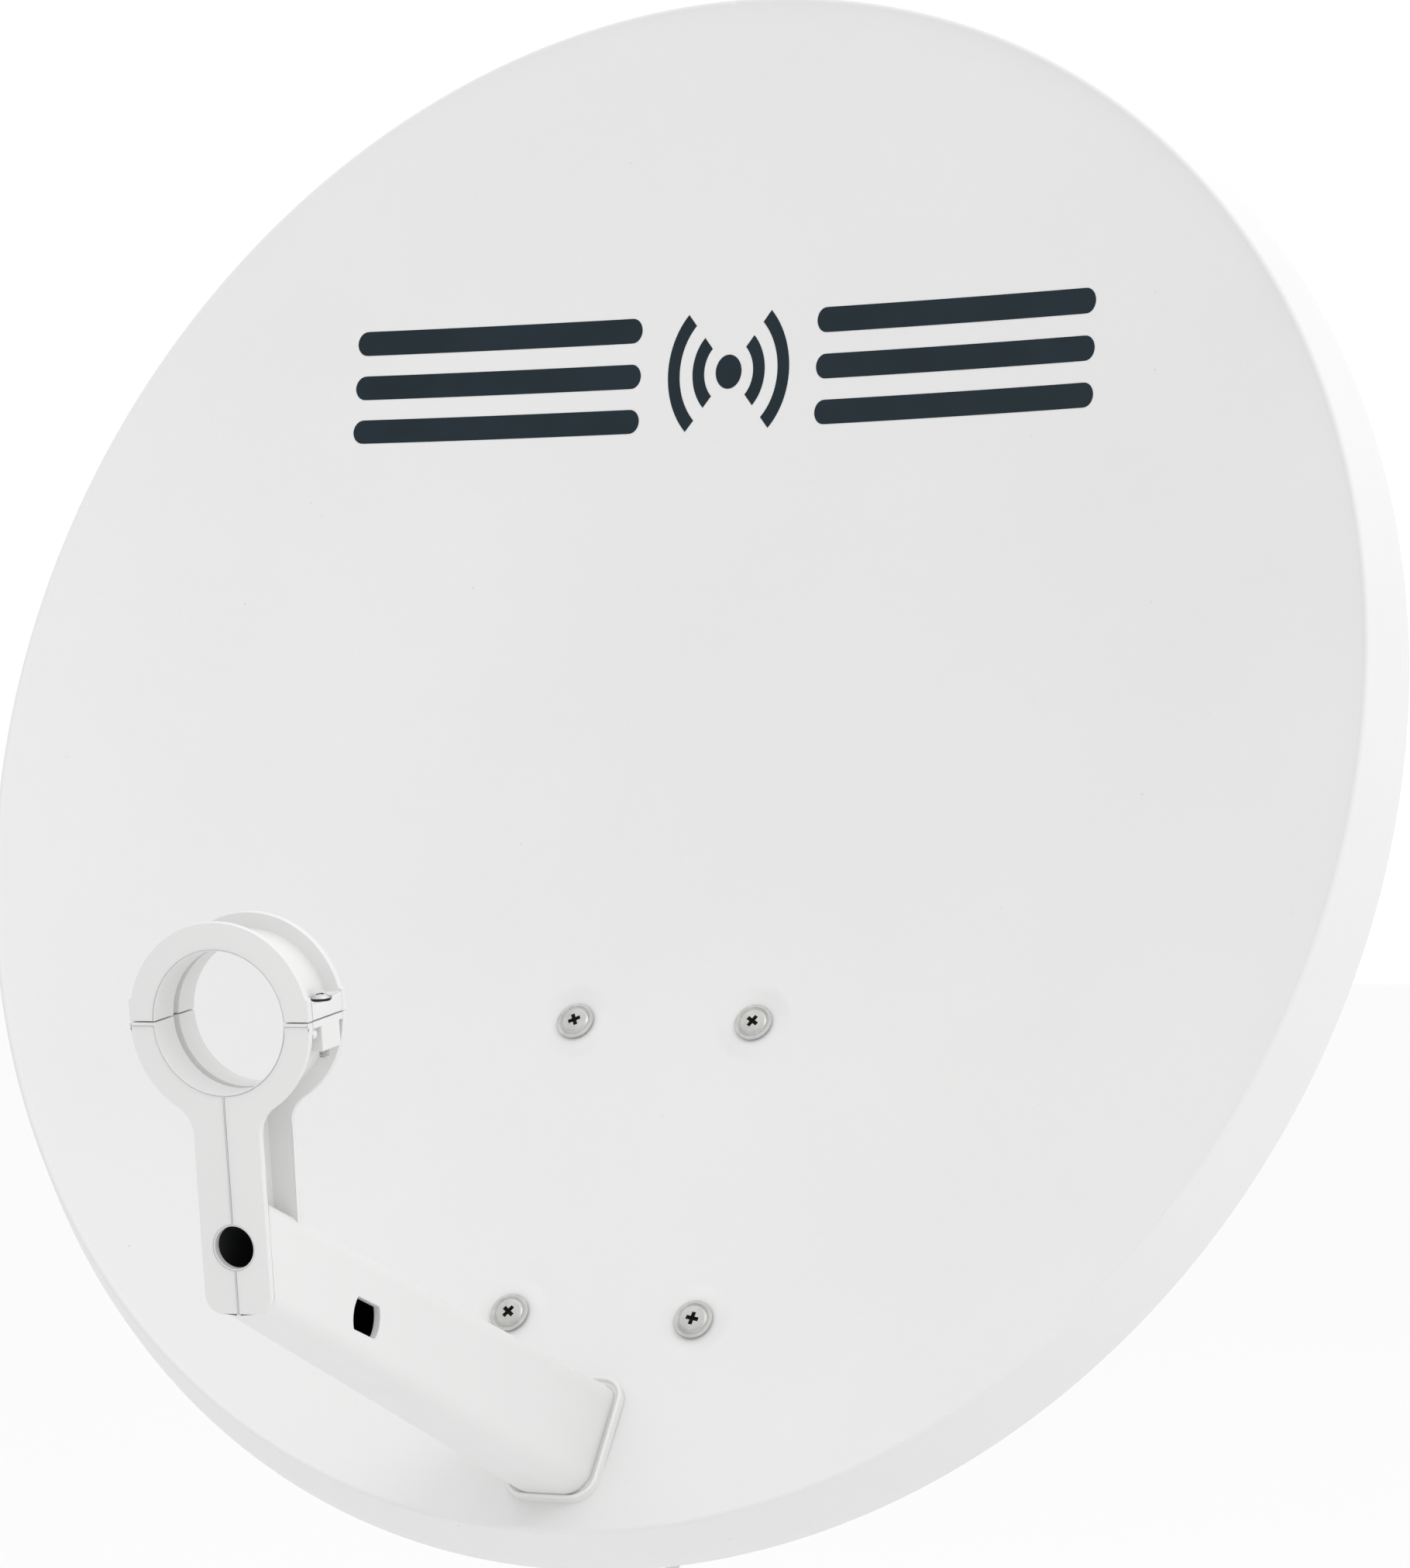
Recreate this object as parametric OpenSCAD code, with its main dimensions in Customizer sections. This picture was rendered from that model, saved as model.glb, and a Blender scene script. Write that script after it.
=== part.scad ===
// Offset satellite dish: pressed reflector, moulded feed arm with a split 40 mm
// clamp, and a tilting bracket that clamps to a round mast.
// X is the width, Y points backwards, Z is up. The origin is the mast clamp's centre.

/* [Reflector] */
// Half width of the reflecting surface
aperture_r = 246; // [236:1:256]
// Focal length of the paraboloid
focal_length = 259; // [250:1:275]
// Distance from the beam axis of the paraboloid to the centre of the aperture
beam_offset = 248; // [246:1:256]
// Angle of the beam above the horizon at rest
elevation = 43; // [40:1:46]
// Thickness of the pressed sheet
sheet = 1.2; // [1:0.1:1.6]
// Depth of the turned-back rim
rim_depth = 20; // [16:1:24]
// How far the rim's hem stands outside the reflecting surface
rim_flare = 13.4; // [12:0.2:15]

/* [Feed arm] */
// Width of the arm at its foot
arm_foot_w = 26.8; // [25:0.2:27.6]
// Width of the arm at its tip
arm_tip_w = 20.4; // [19:0.2:22]
// Height of the arm at its foot
arm_foot_h = 39; // [36:0.5:40]
// Height of the arm at its tip
arm_tip_h = 29; // [27:0.5:31]
// Wall thickness of the arm
arm_wall = 2.4; // [2:0.1:3]

/* [Feed clamp] */
// Diameter of the bore that holds the feed
feed_bore = 40; // [38:0.5:41]
// Diameter of the clamp's flanges
flange_d = 56; // [55:0.5:58]
// Length of the clamp along its bore
clamp_len = 22.6; // [21:0.2:24]
// Thickness of each flange
flange_t = 2.4; // [2:0.1:3]
// Diameter of the cable hole under the clamp
cable_hole_d = 12; // [9:0.5:13]

/* [Mast bracket] */
// Diameter of the largest mast
mast_d = 50; // [48:1:52]
// Height of the mast clamp
clamp_h = 44; // [38:1:48]
// Spacing of the two mast bolts
mast_bolt_spacing = 80; // [78:1:84]
// Thickness of the bracket plates
plate_t = 2.5; // [2:0.1:3]
// Tilt each way from rest
tilt_range = 27; // [20:1:27]

/* [Hidden] */
$fn = 64;
slack = 0.01;

// Paraboloid in the rim's own plane: the rim leans back from the aperture by this angle
rim_tilt = atan(beam_offset / (2 * focal_length));
rim_a = aperture_r;
rim_b = aperture_r / cos(rim_tilt);
bowl_sag = aperture_r * aperture_r / (4 * focal_length);
rim_lean = elevation - rim_tilt;

// Face bolts: a rectangle on the lower half of the bowl
bolt_x = 33.3;
bolt_high = -63;
bolt_low = -170;
upper_bolt = on_bowl(bolt_x, bolt_high);
lower_bolt = on_bowl(bolt_x, bolt_low);
chord = upper_bolt - lower_bolt;
chord_lean = atan(-chord[2] / chord[1]);
chord_mid = (upper_bolt + lower_bolt) / 2;
bolt_y = norm(chord) / 2;
face_head_d = 13.4;
seat_t = 2.4;
seat_d = 16;

// Arm, in the rim's frame: its flat top runs square to the rim plane
arm_top = -226;
arm_tail = -75;
arm_tip = 232;
arm_len = 216;
foot_r_top = 5;
foot_r_low = 7.5;
tip_r_top = 4;
tip_r_low = 5.5;
arm_bolt_at = [[-246, -38], [-246, -62]];
feed_at = [0, -182.8, 253.1];
feed_dip = 26.3;
stem_end = -82;
hole_at = -62.9;
web_d = 46.6;
ear_h = 6.6;
ear_block = 5.6;
ear_plate = 2;
boss_h = 9;
boss_from = 7.7;
boss_to = 18.4;
nub_d = 3.2;
groove_at = 12.2;
groove_w = 2.8;
groove_deep = 2;
seam_w = 0.5;
seam_h = 0.2;
cap_gap = 0.3;
screw_x = 25.2;
screw_z = -13;
screw_d = 3;
screw_head_d = 5.6;
screw_seat = 4.4;

// Bracket and mast
mast_r = mast_d / 2;
pivot_at = [0, -56, -12];
pivot_to_chord = [8, -54];
lock_r = 40;
lean = rim_lean + chord_lean;
chord_at = pivot_at - chord_vec(pivot_to_chord[0], pivot_to_chord[1]);
rim_at = chord_at - rim_vec(chord_mid[1], chord_mid[2]);
lock_angle = -90 - lean;
dish_cheek = 14;
mast_cheek = dish_cheek + plate_t + 0.5;
outer_face = mast_cheek + plate_t;
bracket_plate = -6;
plate_wide = 86;
plate_high = 130;
pivot_boss = 13;
cheek_foot = -118;
m8 = 8;
m6 = 6;
web_y = -mast_r - 2.5;
web_top = 36;
web_low = -44;
wing_reach = 12;

// World vector of a step up and forward in the rim plane, and in the bolts' plane
function lean_vec(a, v, w) = [0, v * sin(a) - w * cos(a), v * cos(a) + w * sin(a)];
function rim_vec(v, w) = lean_vec(rim_lean, v, w);
function chord_vec(v, w) = lean_vec(lean, v, w);

// Point of the bowl above (x, y), where y is measured across the beam from the aperture's centre
function on_bowl(x, y) =
  let (h = bowl_sag - (x * x + y * y) / (4 * focal_length))
  [x, y / cos(rim_tilt) - h * sin(rim_tilt), -h * cos(rim_tilt)];

module rim_frame() {
  translate(rim_at) rotate([90 - rim_lean, 0, 0]) children();
}

module chord_frame() {
  translate([0, chord_mid[1], chord_mid[2]]) rotate([-chord_lean, 0, 0]) children();
}

module feed_frame() {
  translate(feed_at) rotate([feed_dip, 0, 0]) children();
}

// Puts children at both mirror positions in x
module both_sides(x) {
  for (side = [-1, 1]) translate([side * x, 0, 0]) children();
}

// Flat plate with rounded corners, centred on the origin and standing on z = 0
module rounded_plate(wide, high, r, t) {
  linear_extrude(t) offset(r) square([wide - 2 * r, high - 2 * r], center = true);
}

// Polygon with its outer corners rounded
module soft_polygon(points, r) {
  offset(r) offset(delta = -r) polygon(points);
}

// Cylinder along x, centred on the plane x = 0
module cross_pin(d, len) {
  rotate([0, 90, 0]) cylinder(h = len, d = d, center = true);
}

module ring(outer, inner, h) {
  difference() {
    cylinder(h = h, d = outer);
    translate([0, 0, -1]) cylinder(h = h + 2, d = inner);
  }
}

// Hexagon nut standing on z = 0
module nut(across, h, bore) {
  difference() {
    cylinder(h = h, d = across / cos(30), $fn = 6);
    translate([0, 0, -1]) cylinder(h = h + 2, d = bore);
  }
}

// Domed head on z = 0 with a cross recess
module dome_head(d, h, recess) {
  difference() {
    union() {
      cylinder(h = h * 0.4, d = d);
      translate([0, 0, h * 0.4]) cylinder(h = h * 0.6, d1 = d * 0.86, d2 = d * 0.5);
    }
    for (turn = [0, 90]) rotate([0, 0, turn + 45])
      translate([0, 0, h]) cube([recess, recess / 4, h], center = true);
  }
}

// ---------------------------------------------------------------- reflector

segments = 96;
bowl_rings = 7;
bowl_steps = [for (i = [1 : bowl_rings]) i / bowl_rings];
// The back of the bowl lies this far behind its front, and ends just inside the rim's inner ring
back_drop = sheet * 1.1;
edge_step = 0.004;
// Rim profile, outside first: [stand-out, depth] from the bowl's edge to the hem
rim_profile = [
  [3.2, 1.9], [4.4, 2.3], [5.4, 1.7], [6.2, 0],
  [rim_flare - 1.6, 6 - rim_depth], [rim_flare - 0.9, 3.6 - rim_depth], [rim_flare, -rim_depth]
];

function bowl_ring(k, drop) = [
  for (i = [0 : segments - 1])
    let (a = 360 * i / segments, h = bowl_sag * (1 - k * k))
    [k * rim_a * cos(a), k * rim_b * sin(a) - h * sin(rim_tilt), -h * cos(rim_tilt) - drop]
];

function rim_ring(stand_out, depth) = [
  for (i = [0 : segments - 1])
    let (a = 360 * i / segments)
    [(rim_a + stand_out) * cos(a), (rim_b + stand_out) * sin(a), depth]
];

function pole(drop) = [0, -bowl_sag * sin(rim_tilt), -bowl_sag * cos(rim_tilt) - drop];

// Triangles between ring number r and the next
function band(r) = [
  for (i = [0 : segments - 1])
    let (j = (i + 1) % segments, p = 1 + r * segments)
    each [[p + i, p + j, p + segments + i], [p + j, p + segments + j, p + segments + i]]
];

module reflector_shell() {
  front = [for (k = bowl_steps) bowl_ring(k, 0)];
  rim = [for (p = rim_profile) rim_ring(p[0], p[1])];
  inner = [for (i = [len(rim_profile) - 1 : -1 : 0])
    rim_ring(rim_profile[i][0] - sheet, rim_profile[i][1] - (i < 4 ? sheet : 0))];
  back = [for (i = [len(bowl_steps) - 1 : -1 : 0])
    bowl_ring(bowl_steps[i] - (i == len(bowl_steps) - 1 ? edge_step : 0), back_drop)];
  rings = concat(front, rim, inner, back);
  last = 1 + len(rings) * segments;
  points = concat([pole(0)], [for (r = rings) each r], [pole(back_drop)]);
  caps = [for (i = [0 : segments - 1])
    let (j = (i + 1) % segments, p = last - segments)
    each [[0, 1 + j, 1 + i], [last, p + i, p + j]]];
  bands = [for (r = [0 : len(rings) - 2]) each band(r)];
  polyhedron(points = points, faces = concat(caps, bands), convexity = 6);
}

module at_face_bolts() {
  chord_frame() for (x = [-bolt_x, bolt_x], y = [-bolt_y, bolt_y]) translate([x, y, 0]) children();
}

module reflector() {
  color("gainsboro") rim_frame() difference() {
    union() {
      reflector_shell();
      at_face_bolts() translate([0, 0, -seat_t]) cylinder(h = seat_t, d = seat_d);
    }
    at_face_bolts() cylinder(h = 4, d = seat_d - 2);
    at_face_bolts() translate([0, 0, -5]) cylinder(h = 8, d = m6 + 0.6);
    arm_body(-0.4, -60, 60);
  }
}

module face_bolts() {
  color("silver") rim_frame() at_face_bolts() {
    dome_head(face_head_d, 3.2, 4.6);
    translate([0, 0, -20]) cylinder(h = 20 + slack, d = m6);
  }
}

module back_washers() {
  color("silver") rim_frame() at_face_bolts()
    translate([0, 0, bracket_plate - plate_t - 1.6]) ring(12.4, m6 + 0.4, 1.6);
}

module back_nuts() {
  color("silver") rim_frame() at_face_bolts()
    translate([0, 0, bracket_plate - plate_t - 6.8]) nut(10, 5.2, m6);
}

// ---------------------------------------------------------------- dish bracket

// Cheek of the dish bracket, drawn in (up the bolts' plane, out of it)
module cheek_outline() {
  p = pivot_to_chord;
  plate_end = plate_high / 2 - 3;
  low = p[1] - pivot_boss;
  difference() {
    union() {
      soft_polygon([
        [plate_end, bracket_plate - 1], [plate_end, -14], [p[0] + 10, p[1] - 9], [p[0], low],
        [cheek_foot, low], [cheek_foot - 8, -24], [cheek_foot, -14], [-plate_end, bracket_plate - 1]
      ], 5);
      translate(p) circle(r = pivot_boss);
    }
    // Lightening holes
    translate([-58, -34]) circle(d = 18);
    translate([24, -27]) circle(d = 16);
  }
}

module dish_bracket() {
  color("lightgray") rim_frame() difference() {
    union() {
      chord_frame() {
        translate([0, 0, bracket_plate - plate_t]) rounded_plate(plate_wide, plate_high, 9, plate_t);
        for (x = [-dish_cheek - plate_t, dish_cheek])
          translate([x, 0, 0]) rotate([90, 0, 90]) linear_extrude(plate_t) cheek_outline();
      }
      at_face_bolts() translate([0, 0, bracket_plate - slack])
        cylinder(h = -bracket_plate - seat_t + slack, d = seat_d);
    }
    at_face_bolts() translate([0, 0, -12]) cylinder(h = 14, d = m6 + 0.4);
    chord_frame() {
      translate([0, pivot_to_chord[0], pivot_to_chord[1]]) cross_pin(m8 + 0.1, 60);
      translate([0, pivot_to_chord[0] - lock_r, pivot_to_chord[1]]) cross_pin(m6 + 0.2, 60);
      for (y = [-24, 24]) translate([0, y, -12]) cylinder(h = 10, d = 18);
    }
    for (p = arm_bolt_at) translate([0, p[0], p[1]]) cross_pin(m6 + 0.4, 60);
  }
}

// ---------------------------------------------------------------- feed arm

// Thin corner posts of the arm's outline at depth w, shrunk all round by inset
module arm_corners(width, height, r_top, r_low, w, inset) {
  half = width / 2 - inset;
  top = arm_top - inset;
  low = arm_top - height + inset;
  for (x = [-1, 1]) {
    translate([x * (half - r_top), top - r_top, w]) cylinder(h = 0.1, r = r_top, $fn = 32);
    translate([x * (half - r_low), low + r_low, w]) cylinder(h = 0.1, r = r_low, $fn = 32);
  }
}

// The arm between two depths: straight behind the rim plane, tapered in front of it
module arm_body(inset, from, to) {
  taper = to / arm_len;
  hull() {
    arm_corners(arm_foot_w, arm_foot_h, foot_r_top, foot_r_low, from, inset);
    arm_corners(arm_foot_w, arm_foot_h, foot_r_top, foot_r_low, 0, inset);
    arm_corners(
      arm_foot_w + (arm_tip_w - arm_foot_w) * taper, arm_foot_h + (arm_tip_h - arm_foot_h) * taper,
      tip_r_top, tip_r_low, to, inset
    );
  }
}

// Everything behind the clamp's front face, less a skin of the given thickness
module behind_front(skin) {
  reach = 2 * arm_tip;
  feed_frame() translate([-reach / 2, -reach, -reach - skin]) cube([reach, 1.5 * reach, reach]);
}

// Outline of one clamp flange: the round plate, its stem and the fillets between them
module flange_outline(half_w, low, corner) {
  r = 9;
  reach = flange_d / 2 + r - slack;
  fillet_y = -sqrt(reach * reach - (half_w + r) * (half_w + r));
  circle(d = flange_d, $fn = 96);
  translate([-half_w, low + corner]) square([2 * half_w, -low - corner]);
  translate([-half_w + corner, low]) square([2 * (half_w - corner), 2 * corner]);
  for (x = [-1, 1]) translate([x * (half_w - corner), low + corner]) circle(r = corner);
  difference() {
    polygon([[0, 0], [-half_w - r, fillet_y], [half_w + r, fillet_y]]);
    for (x = [-1, 1]) translate([x * (half_w + r), fillet_y]) circle(r = r, $fn = 96);
  }
}

// Flanges, web, lands and bosses of the lower half of the clamp
module lower_half() {
  difference() {
    union() {
      translate([0, 0, -flange_t]) linear_extrude(flange_t)
        flange_outline(arm_tip_w / 2 + 0.15, stem_end, 5.6);
      translate([0, 0, -clamp_len]) linear_extrude(flange_t)
        flange_outline(arm_tip_w / 2 - 0.6, -66, 3);
      translate([0, 0, -clamp_len + 1]) cylinder(h = clamp_len - 2, d = web_d);
      translate([-2, -60, -clamp_len + 1]) cube([4, 40, clamp_len - 2]);
      side_block(-ear_plate, 0, 1, clamp_len - 1);
      side_block(-boss_h, 0, boss_from, boss_to);
      both_sides(flange_d / 2 - nub_d / 2 - 0.5) translate([0, -ear_plate - nub_d / 2, -5.6])
        cylinder(h = 4, d = nub_d);
      // Moulded seams: under the joint, round the bore and round the cable hole
      translate([-flange_d / 2 + 0.3, -2 * seam_w, -1]) cube([flange_d - 0.6, 2 * seam_w, 1 + seam_h]);
      translate([0, 0, -1]) cylinder(h = 1 + seam_h, d = feed_bore + 2 * seam_w);
      translate([0, hole_at, -1]) cylinder(h = 1 + seam_h, d = cable_hole_d + 2 * seam_w);
    }
    translate([-50, -slack, -50]) cube([100, 60, 60]);
    clamp_bore();
    both_sides(screw_x) translate([0, 1, screw_z]) rotate([90, 0, 0])
      cylinder(h = 20, d = screw_d + 0.1);
  }
}

// Block on each side of the clamp, out to the flange's edge, between two heights and two depths
module side_block(low, high, near, far) {
  inside = web_d / 2 - 2;
  wide = flange_d / 2 - 0.2 - inside;
  both_sides(inside + wide / 2) translate([-wide / 2, low, -far]) cube([wide, high - low, far - near]);
}

// Bore for the feed with a groove round its middle
module clamp_bore() {
  translate([0, 0, -60]) cylinder(h = 80, d = feed_bore);
  translate([0, 0, -groove_at - groove_w / 2]) cylinder(h = groove_w, d = feed_bore + 2 * groove_deep);
}

module feed_arm() {
  color("gainsboro") rim_frame() difference() {
    union() {
      intersection() {
        arm_body(0, arm_tail, arm_tip);
        behind_front(1);
      }
      feed_frame() lower_half();
      // Mould seam down the middle of the front face
      feed_frame() translate([-seam_w / 2, stem_end + 0.3, -1])
        cube([seam_w, -stem_end - 0.3 - feed_bore / 2 - seam_w / 2, 1 + seam_h]);
    }
    intersection() {
      arm_body(arm_wall, arm_tail - 1, arm_tip);
      behind_front(arm_wall);
    }
    feed_frame() translate([0, hole_at, -8]) cylinder(h = 12, d = cable_hole_d);
    for (p = arm_bolt_at) translate([0, p[0], p[1]]) cross_pin(m6 + 0.4, 60);
    // Tie hole in the side wall: a round hole with two flats
    translate([0, -244, 161.5]) intersection() {
      cross_pin(16.5, 60);
      cube([60, 9.5, 20], center = true);
    }
  }
}

module arm_collar() {
  foot = [0, arm_top - arm_foot_h / 2, -10.6];
  slope = -21.5;
  color("lightgray") rim_frame() difference() {
    translate(foot) rotate([slope, 0, 0]) difference() {
      translate([0, 0, 0.2]) linear_extrude(2.8) offset(8) square([16, 30.5], center = true);
      translate([0, 0, 1.4]) linear_extrude(4) offset(6.6) square([16, 30.5], center = true);
    }
    arm_body(-0.3, -60, 60);
  }
}

module arm_bolts() {
  color("silver") rim_frame() for (p = arm_bolt_at) translate([0, p[0], p[1]]) {
    cross_pin(m6, 2 * (dish_cheek + plate_t));
    translate([dish_cheek + plate_t, 0, 0]) rotate([0, 90, 0]) cylinder(h = 4, d = 11.5, $fn = 6);
    translate([-dish_cheek - plate_t - 7, 0, 0]) rotate([0, 90, 0]) cylinder(h = 8, d = m6);
  }
}

module arm_nuts() {
  color("silver") rim_frame() for (p = arm_bolt_at)
    translate([-dish_cheek - plate_t, p[0], p[1]]) rotate([0, -90, 0]) nut(10, 5, m6);
}

module arm_plug() {
  color("dimgray") rim_frame() difference() {
    union() {
      arm_slice_plate(0.2, arm_tail - 2.5, 2.5);
      arm_slice_plate(arm_wall + 0.2, arm_tail, 5);
    }
    translate([0, arm_top - arm_foot_h / 2, arm_tail - 4]) cylinder(h = 20, d = 9);
  }
}

// Flat plate of the arm's foot outline, with the larger of the arm's corner radii all round
module arm_slice_plate(inset, w, t) {
  r = foot_r_low;
  translate([0, arm_top - arm_foot_h / 2, w]) linear_extrude(t) offset(r)
    square([arm_foot_w - 2 * (inset + r), arm_foot_h - 2 * (inset + r)], center = true);
}

// ---------------------------------------------------------------- feed cap

module cap_solid() {
  ear_x = flange_d / 2;
  difference() {
    union() {
      for (z = [-flange_t, -clamp_len]) translate([0, 0, z]) {
        cylinder(h = flange_t, d = flange_d, $fn = 96);
        translate([-ear_x, 0, 0]) cube([2 * ear_x, ear_h, flange_t]);
      }
      translate([0, 0, -clamp_len + 1]) cylinder(h = clamp_len - 2, d = web_d);
      side_block(0, ear_block, 1, clamp_len - 1);
      translate([0, 0, -1]) cylinder(h = 1 + seam_h, d = feed_bore + 2 * seam_w);
    }
    translate([-50, -60 + cap_gap, -50]) cube([100, 60, 60]);
    clamp_bore();
    both_sides(screw_x) translate([0, 20, screw_z]) rotate([90, 0, 0]) {
      cylinder(h = 30, d = screw_d + 0.2);
      cylinder(h = 20 - screw_seat, d = screw_head_d + 0.6);
    }
    // Open pockets beside the screw heads, from the web out
    for (side = [-1, 1]) translate([side * (screw_x + 2.4), screw_seat, screw_z])
      translate([-4, 0, 0]) cube([8, 10, -screw_z - 4.3]);
  }
}

module feed_cap() {
  color("gainsboro") rim_frame() feed_frame() cap_solid();
}

module cap_screws() {
  color("silver") rim_frame() feed_frame() both_sides(screw_x)
    translate([0, screw_seat, screw_z]) rotate([-90, 0, 0]) {
      dome_head(screw_head_d, 2, 2.4);
      translate([0, 0, -16]) cylinder(h = 16 + slack, d = screw_d);
    }
}

// ---------------------------------------------------------------- pivot and lock

module at_pivot() {
  rim_frame() chord_frame() translate([0, pivot_to_chord[0], pivot_to_chord[1]]) children();
}

module at_lock() {
  at_pivot() translate([0, -lock_r, 0]) children();
}

module cross_bolt(d, across, head) {
  reach = outer_face + 1.6;
  cross_pin(d, 2 * reach);
  translate([reach - slack, 0, 0]) rotate([0, 90, 0]) cylinder(h = head, d = across / cos(30), $fn = 6);
  translate([-reach - head - 4, 0, 0]) rotate([0, 90, 0]) cylinder(h = head + 4 + slack, d = d);
}

module cross_washers(outer, inner) {
  for (side = [-1, 1]) translate([side * (outer_face + 0.8), 0, 0])
    rotate([0, 90, 0]) translate([0, 0, -0.75]) ring(outer, inner, 1.5);
}

module cross_nut(across, h, d) {
  translate([-outer_face - 1.6, 0, 0]) rotate([0, -90, 0]) nut(across, h, d);
}

module cross_spacer(outer, inner) {
  rotate([0, 90, 0]) translate([0, 0, -dish_cheek]) ring(outer, inner, 2 * dish_cheek);
}

module pivot_bolt() { color("silver") translate(pivot_at) cross_bolt(m8, 13, 5.3); }
module pivot_washers() { color("silver") translate(pivot_at) cross_washers(16, m8 + 0.4); }
module pivot_nut() { color("silver") translate(pivot_at) cross_nut(13, 6.5, m8); }
module pivot_spacer() { color("dimgray") at_pivot() cross_spacer(13, m8 + 0.1); }
module lock_bolt() { color("silver") at_lock() cross_bolt(m6, 10, 4); }
module lock_washers() { color("silver") at_lock() cross_washers(14, m6 + 0.4); }
module lock_nut() { color("silver") at_lock() cross_nut(10, 5, m6); }
module lock_spacer() { color("dimgray") at_lock() cross_spacer(10, m6 + 0.4); }

// ---------------------------------------------------------------- mast bracket and jaw

// Side plate with the pivot hole, drawn in (y, z); the slot follows the lock bolt
module mast_cheek_outline() {
  fan = lock_r + 9;
  a0 = lock_angle - tilt_range - 7;
  a1 = lock_angle + tilt_range + 7;
  pivot = [pivot_at[1], pivot_at[2]];
  arc = [for (i = [0 : 32]) let (a = a0 + (a1 - a0) * i / 32) pivot + fan * [cos(a), sin(a)]];
  difference() {
    union() {
      soft_polygon(concat(
        [[web_y, web_top], [web_y - 8, web_top], pivot + [-9, 11]], arc, [[web_y, web_low]]
      ), 3);
      translate([web_y - 6, web_low + 6]) square([6, web_top - web_low - 12]);
      translate(pivot) circle(r = 14);
    }
    translate(pivot) circle(d = m8 + 0.1);
    translate(pivot) difference() {
      // Sector that keeps only the tilt range of the slot
      polygon(concat([[0, 0]], [for (i = [0 : 12])
        let (a = lock_angle - tilt_range - 1 + (2 * tilt_range + 2) * i / 12) 60 * [cos(a), sin(a)]]));
      circle(r = lock_r - m6 / 2 - 0.3);
      difference() {
        circle(r = 80);
        circle(r = lock_r + m6 / 2 + 0.3);
      }
    }
    for (side = [-1, 1])
      let (end = lock_angle + side * (tilt_range + 1))
      translate(pivot + lock_r * [cos(end), sin(end)]) circle(r = m6 / 2 + 0.3);
  }
}

// Half-round seat for the mast with its flat back plate; the mast bolts pass its two wings
module mast_half() {
  wing = mast_bolt_spacing / 2 + wing_reach;
  difference() {
    union() {
      intersection() {
        translate([0, 0, -clamp_h / 2]) cylinder(h = clamp_h, r = mast_r + 3, $fn = 96);
        translate([-50, -60, -50]) cube([100, 60 - 8, 100]);
      }
      translate([0, web_y, 0]) rotate([90, 0, 0]) rounded_plate(2 * wing, clamp_h, 8, plate_t);
    }
    translate([0, 0, -60]) cylinder(h = 120, r = mast_r, $fn = 96);
    both_sides(mast_bolt_spacing / 2) rotate([90, 0, 0]) cylinder(h = 80, d = m8 + 0.6);
  }
}

module mast_bracket() {
  color("lightgray") {
    mast_half();
    difference() {
      translate([-outer_face, web_y - plate_t, web_low])
        cube([2 * outer_face, plate_t, web_top - web_low]);
      translate([0, 0, -60]) cylinder(h = 120, r = mast_r, $fn = 96);
    }
    for (x = [-mast_cheek - plate_t, mast_cheek])
      translate([x, 0, 0]) rotate([90, 0, 90]) linear_extrude(plate_t) mast_cheek_outline();
  }
}

module mast_jaw() {
  color("lightgray") difference() {
    mirror([0, 1, 0]) mast_half();
    // Gripping grooves along the seat
    for (a = [30 : 10 : 150]) rotate([0, 0, a]) translate([mast_r, 0, -clamp_h / 2 - 1])
      cylinder(h = clamp_h + 2, d = 2, $fn = 16);
  }
}

module mast_bolts() {
  head_y = web_y - plate_t;
  color("silver") both_sides(mast_bolt_spacing / 2) {
    translate([0, head_y, 0]) rotate([90, 0, 0]) cylinder(h = 5.3, d = 13 / cos(30), $fn = 6);
    translate([0, head_y - slack, 0]) rotate([-90, 0, 0]) cylinder(h = 88, d = m8);
  }
}

module jaw_washers() {
  color("silver") both_sides(mast_bolt_spacing / 2)
    translate([0, -web_y + plate_t, 0]) rotate([-90, 0, 0]) ring(16, m8 + 0.4, 1.6);
}

module jaw_nuts() {
  color("silver") both_sides(mast_bolt_spacing / 2)
    translate([0, -web_y + plate_t + 1.6, 0]) rotate([-90, 0, 0]) nut(13, 6.5, m8 + 0.1);
}

reflector();
face_bolts();
back_washers();
back_nuts();
dish_bracket();
feed_arm();
arm_collar();
arm_bolts();
arm_nuts();
arm_plug();
feed_cap();
cap_screws();
pivot_bolt();
pivot_washers();
pivot_nut();
pivot_spacer();
lock_bolt();
lock_washers();
lock_nut();
lock_spacer();
mast_bracket();
mast_bolts();
mast_jaw();
jaw_washers();
jaw_nuts();
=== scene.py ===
"""Looks of the offset satellite dish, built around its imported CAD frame.

Lengths are in millimetres up to the moment a mesh is made; the scene itself is in metres.
X is the width, Y points backwards, Z is up, and the origin is the centre of the mast clamp.
"""

from math import acos, atan, cos, degrees, hypot, pi, radians, sin, sqrt, tan

import bmesh
import bpy
from mathutils import Matrix, Vector
from mathutils.bvhtree import BVHTree


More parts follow.
